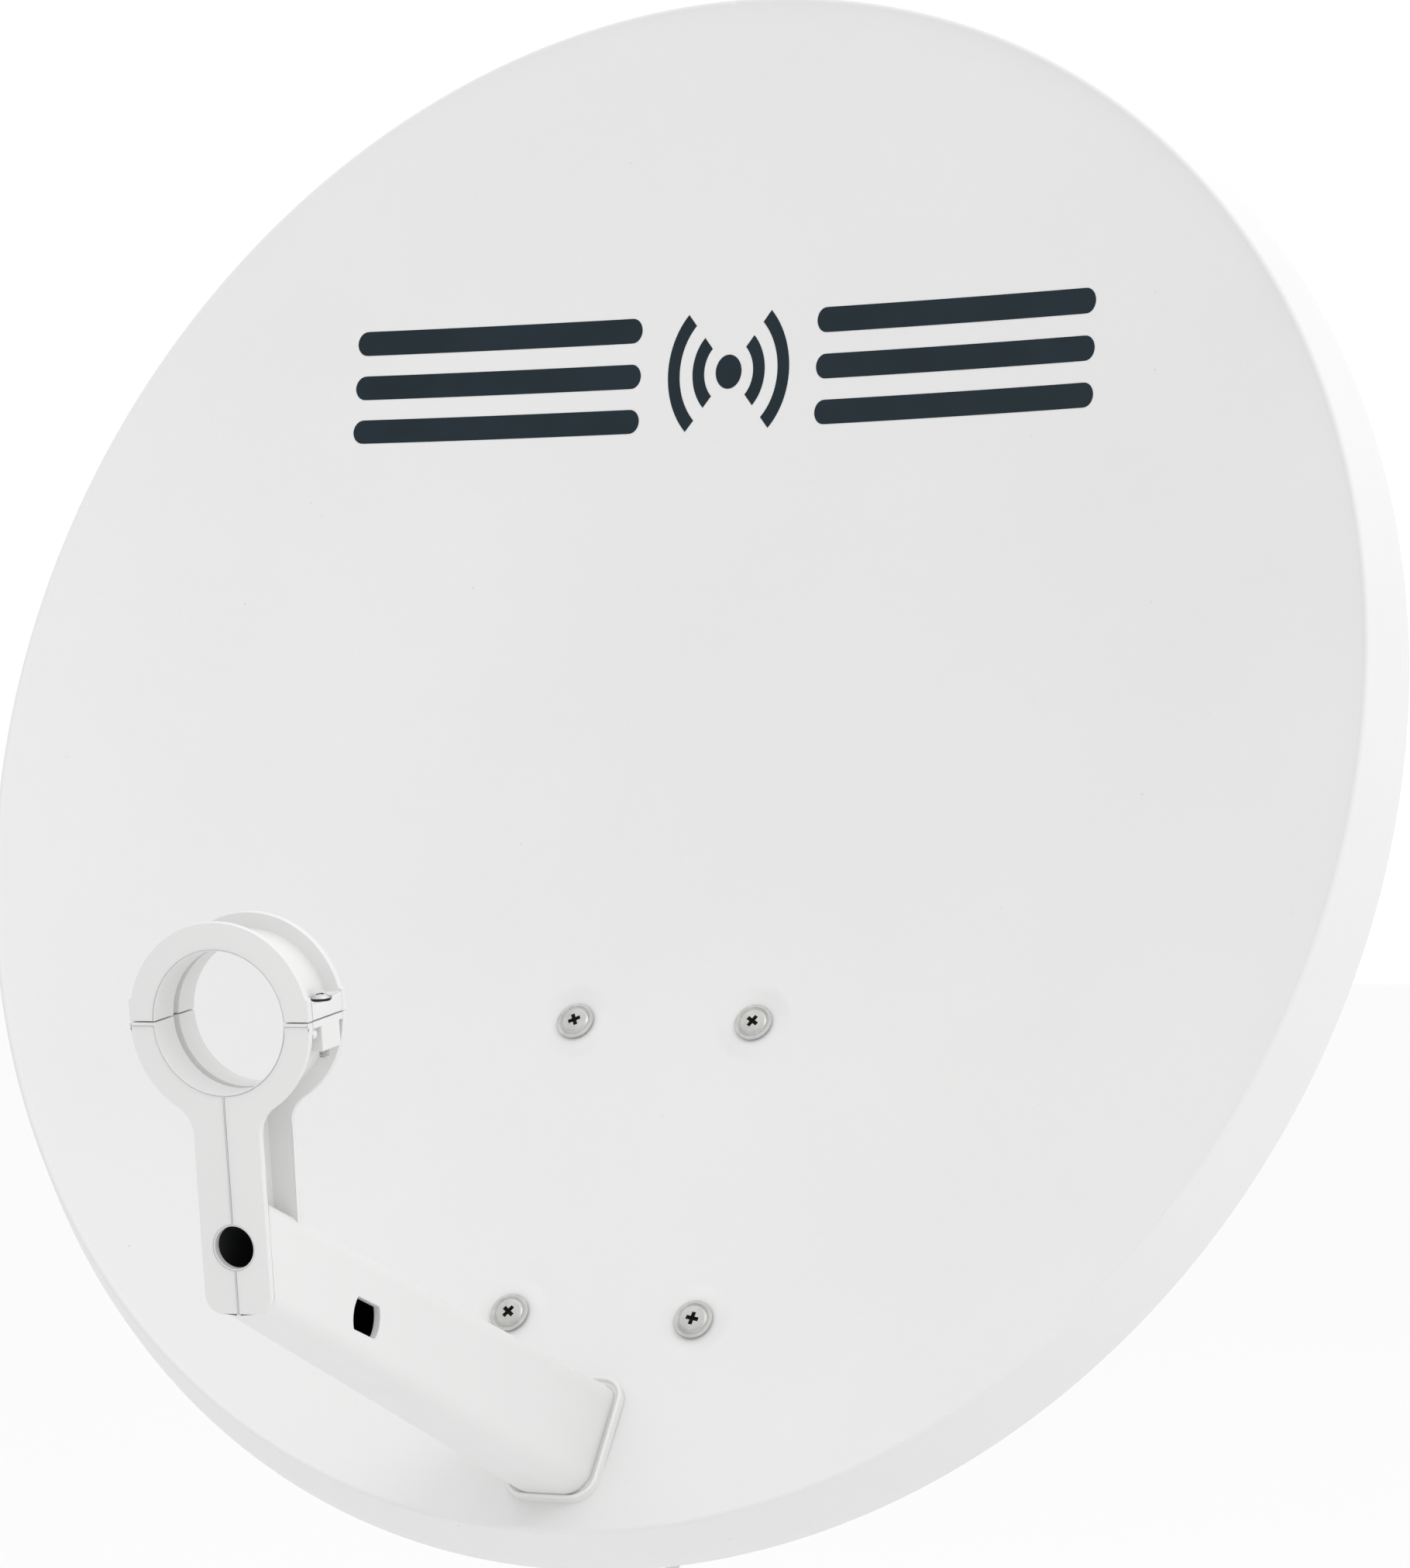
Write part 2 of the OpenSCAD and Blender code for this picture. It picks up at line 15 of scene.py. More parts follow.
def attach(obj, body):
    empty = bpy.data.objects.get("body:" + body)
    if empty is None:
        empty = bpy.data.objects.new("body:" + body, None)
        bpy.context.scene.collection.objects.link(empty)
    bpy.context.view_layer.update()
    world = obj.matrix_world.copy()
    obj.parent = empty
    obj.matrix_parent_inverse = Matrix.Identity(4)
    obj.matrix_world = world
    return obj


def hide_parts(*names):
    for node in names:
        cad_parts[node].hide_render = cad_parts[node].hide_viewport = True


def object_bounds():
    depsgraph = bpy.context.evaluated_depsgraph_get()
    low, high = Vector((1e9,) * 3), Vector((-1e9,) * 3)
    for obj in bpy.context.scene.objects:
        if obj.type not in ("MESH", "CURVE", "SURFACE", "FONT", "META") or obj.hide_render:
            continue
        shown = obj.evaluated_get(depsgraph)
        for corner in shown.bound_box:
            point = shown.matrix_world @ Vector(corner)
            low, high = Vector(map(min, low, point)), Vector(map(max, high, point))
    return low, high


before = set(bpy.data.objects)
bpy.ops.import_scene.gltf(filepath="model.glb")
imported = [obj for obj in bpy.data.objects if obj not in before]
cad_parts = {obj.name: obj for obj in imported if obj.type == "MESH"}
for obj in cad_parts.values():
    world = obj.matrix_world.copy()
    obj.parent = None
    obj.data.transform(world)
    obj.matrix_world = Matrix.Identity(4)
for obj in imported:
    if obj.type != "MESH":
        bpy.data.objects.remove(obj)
cad_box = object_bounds()

MM = 0.001

# ---------------------------------------------------------------- driving sizes, as in the CAD
# Angles are in degrees. Pairs are (at the reflector, at the tip) for the arm's width and height,
# and (up, forward) in the leaning planes.

APERTURE_R = 246
FOCAL = 259
BEAM_OFFSET = 248
ELEVATION = 43
SHEET = 1.2
RIM_DEPTH = 20
RIM_FLARE = 13.4
ARM_WIDTH = (26.8, 20.4)
ARM_HEIGHT = (39, 29)
ARM_TOP = -226
ARM_LEN = 216
ARM_WALL = 2.4
FEED_AT = Vector((0, -182.8, 253.1))
FEED_DIP = 26.3
BOLT_X = 33.3
BOLT_HIGH = -63
BOLT_LOW = -170
PIVOT_AT = Vector((0, -56, -12))
PIVOT_TO_CHORD = (8, -54)
LOCK_R = 40
DISH_CHEEK = 14
PLATE_T = 2.5
BRACKET_PLATE = -6
MAST_R = 25
MAST_BOLT_X = 40
CAP_SCREW = (25.2, 4.4, -13)
ARM_BOLTS = ((-246, -38), (-246, -62))

# ---------------------------------------------------------------- worked out from them

RIM_TILT = atan(BEAM_OFFSET / (2 * FOCAL))
RIM_A = APERTURE_R
RIM_B = APERTURE_R / cos(RIM_TILT)
SAG = APERTURE_R**2 / (4 * FOCAL)
RIM_LEAN = radians(ELEVATION) - RIM_TILT


def on_bowl(x, y):
    """Point of the bowl in the rim's frame, for a place (x, y) measured across the beam."""
    h = SAG - (x * x + y * y) / (4 * FOCAL)
    return Vector((x, y / cos(RIM_TILT) - h * sin(RIM_TILT), -h * cos(RIM_TILT)))


def bowl_normal(x, y):
    """Unit normal of the bowl at on_bowl(x, y), towards the feed."""
    across = on_bowl(x + 1, y) - on_bowl(x - 1, y)
    up = on_bowl(x, y + 1) - on_bowl(x, y - 1)
    return across.cross(up).normalized()


def turn_x(angle):
    return Matrix.Rotation(angle, 4, "X")


def turn_y(angle):
    return Matrix.Rotation(angle, 4, "Y")


def turn_z(angle):
    return Matrix.Rotation(angle, 4, "Z")


def shift(x, y, z):
    return Matrix.Translation((x, y, z))


def lean_vec(lean, v, w):
    """World vector of v up and w forward in a plane that leans back."""
    return Vector((0, v * sin(lean) - w * cos(lean), v * cos(lean) + w * sin(lean)))


UPPER_BOLT = on_bowl(BOLT_X, BOLT_HIGH)
LOWER_BOLT = on_bowl(BOLT_X, BOLT_LOW)
CHORD = UPPER_BOLT - LOWER_BOLT
CHORD_LEAN = atan(-CHORD.z / CHORD.y)
CHORD_MID = (UPPER_BOLT + LOWER_BOLT) / 2
BOLT_Y = CHORD.length / 2
LEAN = RIM_LEAN + CHORD_LEAN
LOCK_ANGLE = -pi / 2 - LEAN
RIM_AT = PIVOT_AT - lean_vec(LEAN, *PIVOT_TO_CHORD) - lean_vec(RIM_LEAN, CHORD_MID.y, CHORD_MID.z)

IN_RIM = Matrix.Translation(RIM_AT) @ turn_x(pi / 2 - RIM_LEAN)
RIM_TO_CHORD = shift(0, CHORD_MID.y, CHORD_MID.z) @ turn_x(-CHORD_LEAN)
IN_CHORD = IN_RIM @ RIM_TO_CHORD
IN_FEED = IN_RIM @ Matrix.Translation(FEED_AT) @ turn_x(radians(FEED_DIP))
IN_PIVOT = Matrix.Translation(PIVOT_AT)
IN_LOCK = IN_CHORD @ shift(0, PIVOT_TO_CHORD[0] - LOCK_R, PIVOT_TO_CHORD[1])
CHEEK_FACE = DISH_CHEEK + 2 * PLATE_T + 0.5
FACE_BOLTS = [(x, y) for x in (-BOLT_X, BOLT_X) for y in (-BOLT_Y, BOLT_Y)]

# ---------------------------------------------------------------- mesh helpers


def skin(rings, closed=False, caps=True):
    """Vertices and faces of the surface through rings that all have the same number of points."""
    n = len(rings[0])
    verts = [p for ring in rings for p in ring]
    faces = []
    for r in range(len(rings) if closed else len(rings) - 1):
        a = r * n
        b = (r + 1) % len(rings) * n
        faces += [(a + i, a + (i + 1) % n, b + (i + 1) % n, b + i) for i in range(n)]
    if caps and not closed:
        faces.append(tuple(reversed(range(n))))
        faces.append(tuple(range(len(verts) - n, len(verts))))
    return verts, faces


def make(name, parts):
    """Object from (vertices in mm, faces, matrix in mm) parts, with its normals facing out."""
    bm = bmesh.new()
    for verts, faces, matrix in parts:
        made = [bm.verts.new(matrix @ Vector(v) * MM) for v in verts]
        for f in faces:
            bm.faces.new([made[i] for i in f])
    bmesh.ops.recalc_face_normals(bm, faces=bm.faces)
    mesh = bpy.data.meshes.new(name)
    bm.to_mesh(mesh)
    bm.free()
    obj = bpy.data.objects.new(name, mesh)
    bpy.context.scene.collection.objects.link(obj)
    return obj


def applied(obj):
    """Turns obj's modifiers into mesh."""
    graph = bpy.context.evaluated_depsgraph_get()
    mesh = bpy.data.meshes.new_from_object(obj.evaluated_get(graph))
    obj.modifiers.clear()
    obj.data = mesh
    return obj


def smooth(obj, angle=32):
    """Shades obj smooth except over edges sharper than the angle, and evens out its flat faces."""
    obj.data.shade_smooth()
    obj.data.set_sharp_from_angle(angle=radians(angle))
    weighted = obj.modifiers.new("weighted", "WEIGHTED_NORMAL")
    weighted.keep_sharp = True
    return obj


def cut(obj, cutter):
    """Takes the cutter's volume out of obj and deletes the cutter."""
    boolean = obj.modifiers.new("cut", "BOOLEAN")
    boolean.operation = "DIFFERENCE"
    boolean.solver = "EXACT"
    boolean.object = cutter
    applied(obj)
    bpy.data.objects.remove(cutter)
    return obj


def bevel(obj, width, angle):
    """Rounds obj's edges that are sharper than the angle; the width is in mm."""
    rounded = obj.modifiers.new("bevel", "BEVEL")
    rounded.width = width * MM
    rounded.segments = 2
    rounded.limit_method = "ANGLE"
    rounded.angle_limit = radians(angle)
    rounded.use_clamp_overlap = False
    rounded.loop_slide = False
    return applied(obj)


# Points closer than WELD mm are joined, faces within FLAT_WITHIN degrees of each other
# become one, and edges sharper than ROUND_ABOVE degrees are rounded
WELD = 0.002
FLAT_WITHIN = 0.4
ROUND_ABOVE = 40


def from_cad(node, name, width):
    """Copy of a CAD node with its flat faces joined and its edges rounded."""
    bm = bmesh.new()
    bm.from_mesh(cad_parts[node].data)
    bmesh.ops.remove_doubles(bm, verts=bm.verts, dist=WELD * MM)
    flat = radians(FLAT_WITHIN)
    bmesh.ops.dissolve_limit(bm, angle_limit=flat, verts=bm.verts, edges=bm.edges)
    many_sided = [f for f in bm.faces if len(f.verts) > 4]
    bmesh.ops.triangulate(bm, faces=many_sided, ngon_method="BEAUTY")
    mesh = bpy.data.meshes.new(name)
    bm.to_mesh(mesh)
    surface = BVHTree.FromBMesh(bm)
    bm.free()
    obj = bpy.data.objects.new(name, mesh)
    bpy.context.scene.collection.objects.link(obj)
    bevel(obj, width, ROUND_ABOVE)
    # Where two edges are closer than the rounding, its corners are put back on the surface
    for v in obj.data.vertices:
        near, _, _, off = surface.find_nearest(v.co)
        if off > width / 2 * MM:
            v.co = near
    return obj


def turned(profile, sides=48):
    """Rings of a turned shape from its (radius, height) outline."""
    steps = [2 * pi * i / sides for i in range(sides)]
    return [[(r * cos(t), r * sin(t), z) for t in steps] for r, z in profile]


def arc(cx, cy, r, start, end, steps):
    """Points of an arc, with the angles in degrees."""
    angles = [radians(start + (end - start) * i / steps) for i in range(steps + 1)]
    return [(cx + r * cos(t), cy + r * sin(t)) for t in angles]


def rounded_line(corners, steps=6):
    """Outline through (x, y, radius) corners, with an arc at each inner corner."""
    points = [Vector(corners[0][:2])]
    for before, here, after in zip(corners, corners[1:], corners[2:]):
        at = Vector(here[:2])
        back = (Vector(before[:2]) - at).normalized()
        on = (Vector(after[:2]) - at).normalized()
        half = acos(max(-1, min(1, back.dot(on)))) / 2
        reach = here[2] / tan(half)
        centre = at + (back + on).normalized() * (here[2] / sin(half))
        first = at + back * reach - centre
        last = at + on * reach - centre
        sweep = first.angle_signed(last)
        for i in range(steps + 1):
            turn = Matrix.Rotation(-sweep * i / steps, 2)
            points.append(centre + turn @ first)
    points.append(Vector(corners[-1][:2]))
    return points


def smoothstep(a, b, x):
    """Eases from 0 at a to 1 at b."""
    t = max(0, min(1, (x - a) / (b - a)))
    return t * t * (3 - 2 * t)


# ---------------------------------------------------------------- fasteners


def hexagon_ring(across, z, sides, chamfer_at=None, rise=0):
    """Ring on a hexagon; past the radius chamfer_at its corners bend away by rise per mm."""
    ring = []
    for i in range(sides):
        t = 2 * pi * i / sides
        off = (t + pi / 6) % (pi / 3) - pi / 6
        r = across / 2 / cos(off)
        drop = max(0, r - chamfer_at) * rise if chamfer_at else 0
        ring.append((r * cos(t), r * sin(t), z + drop))
    return ring


def threaded(d, pitch, z0, z1, sides, runout=1.0):
    """Rings of a helical thread from z0 up to z1, fading out over the last stretch."""
    depth = 0.58 * pitch
    steps = max(4, round((z1 - z0) / pitch * 4))
    rings = []
    for s in range(steps + 1):
        z = z0 + (z1 - z0) * s / steps
        fade = min(1, (z1 - z) / (runout * pitch), (z - z0 + 0.3 * pitch) / (0.8 * pitch))
        ring = []
        for i in range(sides):
            t = 2 * pi * i / sides
            phase = (z / pitch - i / sides) % 1
            crest = abs(2 * phase - 1)
            r = d / 2 - depth * (1 - smoothstep(0.15, 0.8, crest)) * max(0, fade)
            ring.append((r * cos(t), r * sin(t), z))
        rings.append(ring)
    return rings


def hex_bolt(d, pitch, across, head, length, thread, sides=48):
    """Hexagon bolt with its head's seat at z = 0, head upwards and shank downwards."""
    chamfer = across / 2 * 0.96
    rings = turned([(d / 2 - 1.1, -length), (d / 2 - 0.9, -length + 0.1)], sides)
    rings += threaded(d, pitch, -length + 0.5, -length + thread, sides)
    rings += turned([(d / 2, -length + thread + 0.5), (d / 2, -0.4), (d / 2 + 0.4, 0)], sides)
    rings += turned([(chamfer - 0.1, 0), (chamfer, 0.25)], sides)
    rings += [hexagon_ring(across, 0.3, sides, chamfer, 0.2)]
    rings += [hexagon_ring(across, head - 0.1, sides, chamfer, -0.58)]
    dish = head - 0.15
    top = [(chamfer - 0.2, head), (chamfer - 1.2, head), (chamfer - 1.5, dish), (0.6, dish)]
    rings += turned(top, sides)
    return skin(rings)


def hex_nut(d, across, h, sides=48):
    """Hexagon nut standing on z = 0, both faces chamfered, with threaded bore edges."""
    chamfer = across / 2 * 0.96
    bore = d / 2 + 0.02
    rings = turned([(bore, 0.7), (bore + 0.5, 0), (chamfer - 0.2, 0)], sides)
    rings += [hexagon_ring(across, 0.1, sides, chamfer, 0.58)]
    rings += [hexagon_ring(across, h - 0.1, sides, chamfer, -0.58)]
    rings += turned([(chamfer - 0.2, h), (bore + 0.5, h), (bore, h - 0.7)], sides)
    return skin(rings, closed=True)


def washer(outer, inner, h, sides=64):
    """Flat washer on z = 0 with rounded outer edges."""
    r = outer / 2
    c = min(0.3, h / 4)
    profile = [(inner / 2, 0.1), (inner / 2 + 0.1, 0), (r - c, 0), (r - c * 0.3, c * 0.3), (r, c)]
    profile += [(r, h - c), (r - c * 0.3, h - c * 0.3), (r - c, h), (inner / 2 + 0.1, h)]
    profile += [(inner / 2, h - 0.1)]
    return skin(turned(profile, sides), closed=True)


def cross_recess(size, depth, top):
    """Tapered cross that cuts a screwdriver recess down from the height top."""
    half = size / 2
    arm = size / 6.5

    def ring(scale, z):
        a = half * scale
        b = arm * (0.55 + 0.45 * scale)
        plus = [(a, b), (b, b), (b, a), (-b, a), (-b, b), (-a, b)]
        plus += [(-x, -y) for x, y in plus]
        return [(x, y, z) for x, y in plus]

    return skin([ring(0.35, top - depth), ring(0.9, top - depth * 0.35), ring(1.05, top + 1)])


RECESS_RIM = 0.12
HEAD_UNDERCUT = 0.66


def domed_screw(name, profile, d, pitch, length, recess, recess_depth):
    """One screw with a turned head, a threaded shank below z = 0 and a cross recess.

    Its recess and the undercut of its head take the second material, which paints shade into the
    recess and a contact shadow under the head's edge.
    """
    rings = turned([(d / 2 - 0.6, -length)])
    rings += threaded(d, pitch, -length + 0.3, -length * 0.25, 48)
    rings += turned([(d / 2, -0.3), (d / 2 + 0.3, 0)] + profile)
    screw = make(name, [(*skin(rings), Matrix.Identity(4))])
    top = profile[-1][1]
    cutter = make("cutter", [(*cross_recess(recess, recess_depth, top), turn_z(pi / 4))])
    cut(screw, cutter)
    # Painted shade: faces in the recess and faces under the head's edge are marked for the dark
    # second material.
    for face in screw.data.polygons:
        x, y, z = face.center / MM
        r = hypot(x, y)
        in_recess = r < recess / 2 and 0 < z < top - RECESS_RIM
        under_edge = r > d / 2 + 0.4 and z < HEAD_UNDERCUT
        if in_recess or under_edge:
            face.material_index = 1
    return screw


def repeat(obj, places):
    """Puts a copy of obj's mesh at each matrix (in mm) and joins them into obj."""
    bm = bmesh.new()
    for place in places:
        move = place.copy()
        move.translation = place.translation * MM
        copy = obj.data.copy()
        copy.transform(move)
        bm.from_mesh(copy)
        bpy.data.meshes.remove(copy)
    bm.to_mesh(obj.data)
    bm.free()
    return obj


# ---------------------------------------------------------------- reflector

RIM_STEPS = 252
BOWL_STEPS = 44
RIM_OUTLINE = [
    (0, 0, 0), (2.9, 1.55, 3), (4.95, 2.95, 1.25), (12, -14.8, 3.5), (RIM_FLARE, -RIM_DEPTH, 0),
]
NOTCH = 0.45
NOTCH_OFFSETS = (0.12, 0.3, 0.45)
SEAT_R = 7
SEAT_BLEND = 14
SEAT_REACH = 20


def rim_angles():
    """Angles round the rim, with extra ones at the two notches on the symmetry plane."""
    even = [2 * pi * i / RIM_STEPS for i in range(RIM_STEPS)]
    offs = [sign * off for off in NOTCH_OFFSETS for sign in (-1, 1)]
    near = [radians(side + off) for side in (90, 270) for off in offs]
    return sorted(even + near)


def notch_depth(angle):
    """How far the crest dips at this angle."""
    off = min(abs(degrees(angle) - 90), abs(degrees(angle) - 270))
    return NOTCH * (1 - smoothstep(0.12, 0.4, off))


def reflector_shell():
    """Pressed shell: bowl, rim, skirt and hem, with the arm's opening and the bolts' seats."""
    angles = rim_angles()
    rings = []
    for i in range(1, BOWL_STEPS + 1):
        k = i / BOWL_STEPS
        rings.append([on_bowl(k * RIM_A * cos(t), k * RIM_A * sin(t)) for t in angles])
    for out, depth in rounded_line(RIM_OUTLINE, 5)[1:]:
        crest = smoothstep(1.2, 2.4, depth)
        rings.append([
            ((RIM_A + out) * cos(t), (RIM_B + out) * sin(t), depth - crest * notch_depth(t))
            for t in angles
        ])
    verts, faces = skin(rings, caps=False)
    verts.append(on_bowl(0, 0))
    n = len(angles)
    faces += [(len(verts) - 1, i, (i + 1) % n) for i in range(n)]
    obj = make("reflector_shell", [(verts, faces, Matrix.Identity(4))])
    press_seats(obj)
    obj.data.transform(Matrix.Scale(1 / MM, 4))
    obj.data.transform(Matrix.Scale(MM, 4) @ IN_RIM)
    if outward(obj) < 0:
        obj.data.flip_normals()
    solid = obj.modifiers.new("sheet", "SOLIDIFY")
    solid.thickness = SHEET * MM
    solid.offset = -1
    solid.use_even_offset = True
    applied(obj)
    cut_for_arm(obj, 0.4)
    return smooth(bevel(obj, 0.3, 60), 40)


def outward(obj):
    """Sign of the first bowl face's normal against the direction of the feed."""
    forward = IN_RIM.to_3x3() @ Vector((0, 0, 1))
    return obj.data.polygons[0].normal.dot(forward)


def press_seats(obj):
    """Flattens a small round seat into the bowl under each face bolt, fading into the bowl."""
    to_chord = RIM_TO_CHORD.inverted()
    bm = bmesh.new()
    bm.from_mesh(obj.data)

    def from_bolt(co):
        p = to_chord @ (co / MM)
        x, y = min(FACE_BOLTS, key=lambda b: hypot(p.x - b[0], p.y - b[1]))
        return p, hypot(p.x - x, p.y - y)

    near = [e for e in bm.edges if all(from_bolt(v.co)[1] < SEAT_REACH for v in e.verts)]
    bmesh.ops.subdivide_edges(bm, edges=near, cuts=7, use_grid_fill=True)
    for v in bm.verts:
        p, r = from_bolt(v.co)
        if r < SEAT_BLEND:
            p.z *= smoothstep(SEAT_R, SEAT_BLEND, r)
            v.co = RIM_TO_CHORD @ p * MM
    bm.to_mesh(obj.data)
    bm.free()


# ---------------------------------------------------------------- generic mark on the bowl

MARK_Y = 147
MARK_SAG = 0.00057
MARK_LIFT = 0.12
BAR_THICK = 7.2
BAR_PITCH = 13.4
BAR_ENDS = (34, 142)


def printed(patch):
    """Thin closed sheet on the bowl from a grid of (x, y) places in the mark."""
    rings = []
    for marked in patch:
        row = [(x, MARK_Y + y - MARK_SAG * x * x) for x, y in marked]
        top = [on_bowl(x, y) + bowl_normal(x, y) * MARK_LIFT for x, y in row]
        low = [on_bowl(x, y) - bowl_normal(x, y) * 0.1 for x, y in reversed(row)]
        rings.append(top + low)
    return (*skin(rings), IN_RIM)


def bar(x0, x1, y):
    """Rounded bar of the mark."""
    r = BAR_THICK / 2
    rows = []
    for i in range(49):
        x = x0 + (x1 - x0) * (1 - cos(pi * i / 48)) / 2
        end = min(x - x0, x1 - x)
        half = sqrt(max(0.05, r * r - max(0, r - end) ** 2))
        rows.append([(x, y + half * s) for s in (-1, -0.33, 0.33, 1)])
    return printed(rows)


def wave(r0, r1, side):
    """Arc of the mark, on one side of its dot."""
    rows = []
    for i in range(25):
        t = radians(-47 + 94 * i / 24)
        rows.append([(side * r * cos(t), r * sin(t)) for r in (r0, (r0 + r1) / 2, r1)])
    return printed(rows)


def dot(radius):
    """Round centre of the mark."""
    rows = []
    for i in range(25):
        x = -radius * cos(pi * i / 24)
        half = sqrt(max(0.02, radius * radius - x * x))
        rows.append([(x, half * s) for s in (-1, -0.33, 0.33, 1)])
    return printed(rows)


def signal_mark():
    """Dot between two pairs of waves, with three bars on each side."""
    parts = [dot(5)]
    for side in (-1, 1):
        parts += [wave(9.5, 14, side), wave(19, 23.5, side)]
        ends = sorted(side * x for x in BAR_ENDS)
        parts += [bar(*ends, row * BAR_PITCH) for row in (-1, 0, 1)]
    return smooth(make("signal_mark", parts), 40)


# ---------------------------------------------------------------- arm, collar and clamp


def rounded_box(left, right, low, top, radii, steps=8):
    """Outline of a box with (top, low) corner radii, anticlockwise."""
    r_top, r_low = radii
    points = arc(right - r_top, top - r_top, r_top, 0, 90, steps)
    points += arc(left + r_top, top - r_top, r_top, 90, 180, steps)
    points += arc(left + r_low, low + r_low, r_low, 180, 270, steps)
    points += arc(right - r_low, low + r_low, r_low, 270, 360, steps)
    return points


def arm_ring(w, inset):
    """Outline of the arm at depth w in the rim's frame, shrunk all round by inset."""
    t = max(0, w) / ARM_LEN
    half = (ARM_WIDTH[0] + (ARM_WIDTH[1] - ARM_WIDTH[0]) * t) / 2 - inset
    low = ARM_TOP - ARM_HEIGHT[0] - (ARM_HEIGHT[1] - ARM_HEIGHT[0]) * t + inset
    radii = (5 - t - inset, 7.5 - 2 * t - inset)
    return [(x, y, w) for x, y in rounded_box(-half, half, low, ARM_TOP - inset, radii)]


def cut_for_arm(obj, gap):
    """Cuts the arm's opening into obj, with a gap in mm all round the arm."""
    hole = [arm_ring(w, -gap) for w in (-60, 0, 60)]
    cut(obj, make("cutter", [(*skin(hole), IN_RIM)]))


COLLAR_HALF = 16
COLLAR_TALL = 23.25
COLLAR_CORNER = 8
COLLAR_TILT = -21.5


def arm_collar():
    """Trim round the arm's foot: a thin rounded lip each side of a shallow groove."""
    foot = IN_RIM @ shift(0, ARM_TOP - ARM_HEIGHT[0] / 2, -10.6) @ turn_x(radians(COLLAR_TILT))
    lip = [(0, -1.2)] + arc(0.7, 1.75, 0.7, 180, 20, 8)
    lip += [(1.6, 1.3), (1.9, 1.15), (2.6, 1.15), (2.8, 1.3)] + arc(3.3, 1.9, 0.45, 160, 0, 6)
    lip += [(3.8, -1.2)]
    rings = []
    for inset, height in lip:
        half = COLLAR_HALF - inset
        tall = COLLAR_TALL - inset
        corner = COLLAR_CORNER - inset
        outline = rounded_box(-half, half, -tall, tall, (corner, corner))
        rings.append([(x, y, height + (x * x + y * y) / (4.4 * FOCAL)) for x, y in outline])
    obj = make("arm_collar_trim", [(*skin(rings, closed=True), foot)])
    cut_for_arm(obj, 0.08)
    return smooth(obj, 40)


def encloses(outline, p):
    """Whether the convex outline goes round the point p."""
    turns = [
        (bx - ax) * (p.y - ay) - (by - ay) * (p.x - ax)
        for (ax, ay, _), (bx, by, _) in zip(outline, outline[1:] + outline[:1])
    ]
    return min(turns) >= 0 or max(turns) <= 0


def darken_inside(obj):
    """Gives the faces inside the hollow arm the dark second material, painted shade for the dark
    inside of the hollow.
    """
    to_rim = IN_RIM.inverted()
    to_feed = IN_FEED.inverted()
    skin_deep = ARM_WALL - 0.6
    for face in obj.data.polygons:
        centre = face.center / MM
        p = to_rim @ centre
        inside = encloses(arm_ring(p.z, skin_deep), p)
        if inside and (to_feed @ centre).z < -skin_deep:
            face.material_index = 1


def face_bolts():
    """The four bolts through the bowl, with flanged heads."""
    head = [(5.5, 0.05), (5.6, 0.6), (6.5, 0.7), (6.7, 0.85), (6.7, 1.2), (6.5, 1.42), (5.6, 1.46)]
    head += [(5.35, 1.2), (5.1, 1.2), (4.9, 1.5), (4.5, 1.8), (3.9, 1.95), (2, 2.05), (0.5, 2.07)]
    screw = domed_screw("face_bolt_set", head, 6, 1, 20, 4.7, 1.9)
    spin = [8, -20, 35, 12]
    places = [
        IN_CHORD @ shift(x, y, 0) @ turn_z(radians(spin[i])) for i, (x, y) in enumerate(FACE_BOLTS)
    ]
    return smooth(repeat(screw, places), 40)


def cap_screws():
    """The two screws of the feed clamp."""
    head = [(2.7, 0), (2.8, 0.1), (2.8, 0.7), (2.6, 1), (2, 1.5), (1.2, 1.85), (0.3, 1.98)]
    screw = domed_screw("cap_screw_set", head, 3, 0.5, 16, 2.9, 1.3)
    x, y, z = CAP_SCREW
    places = [
        IN_FEED @ shift(side * x, y, z) @ turn_x(-pi / 2) @ turn_z(radians(20 * side))
        for side in (-1, 1)
    ]
    return smooth(repeat(screw, places), 40)


# ---------------------------------------------------------------- hardware behind the dish


def fasteners(name, shape, places):
    """Object with the same shape at each place."""
    verts, faces = shape
    return smooth(make(name, [(verts, faces, place) for place in places]), 28)


def across(place, x, side):
    """Frame on a cross bolt's axis at distance x, with z pointing away from the middle."""
    return place @ shift(side * x, 0, 0) @ turn_y(side * pi / 2)


WASHER_T = 1.6


def back_hardware():
    """Washers and nuts of the face bolts."""
    behind = BRACKET_PLATE - PLATE_T
    spots = [IN_CHORD @ shift(x, y, behind) @ turn_x(pi) for x, y in FACE_BOLTS]
    washers = fasteners("back_washer_set", washer(12.4, 6.4, WASHER_T), spots)
    nuts = [s @ shift(0, 0, WASHER_T) @ turn_z(0.4 * i) for i, s in enumerate(spots)]
    return washers, fasteners("back_nut_set", hex_nut(6, 10, 5.2), nuts)


def arm_hardware():
    """Bolts and nuts that hold the arm's tail between the dish bracket's cheeks."""
    outside = DISH_CHEEK + PLATE_T
    spots = [IN_RIM @ shift(0, v, w) for v, w in ARM_BOLTS]
    bolt = hex_bolt(6, 1, 10, 4, 2 * outside + 7, 18)
    bolts = [across(s, outside, 1) @ turn_z(0.3 * i) for i, s in enumerate(spots)]
    nuts = [across(s, outside, -1) @ turn_z(0.5 * i) for i, s in enumerate(spots)]
    return (
        fasteners("arm_bolt_set", bolt, bolts),
        fasteners("arm_nut_set", hex_nut(6, 10, 5), nuts),
    )


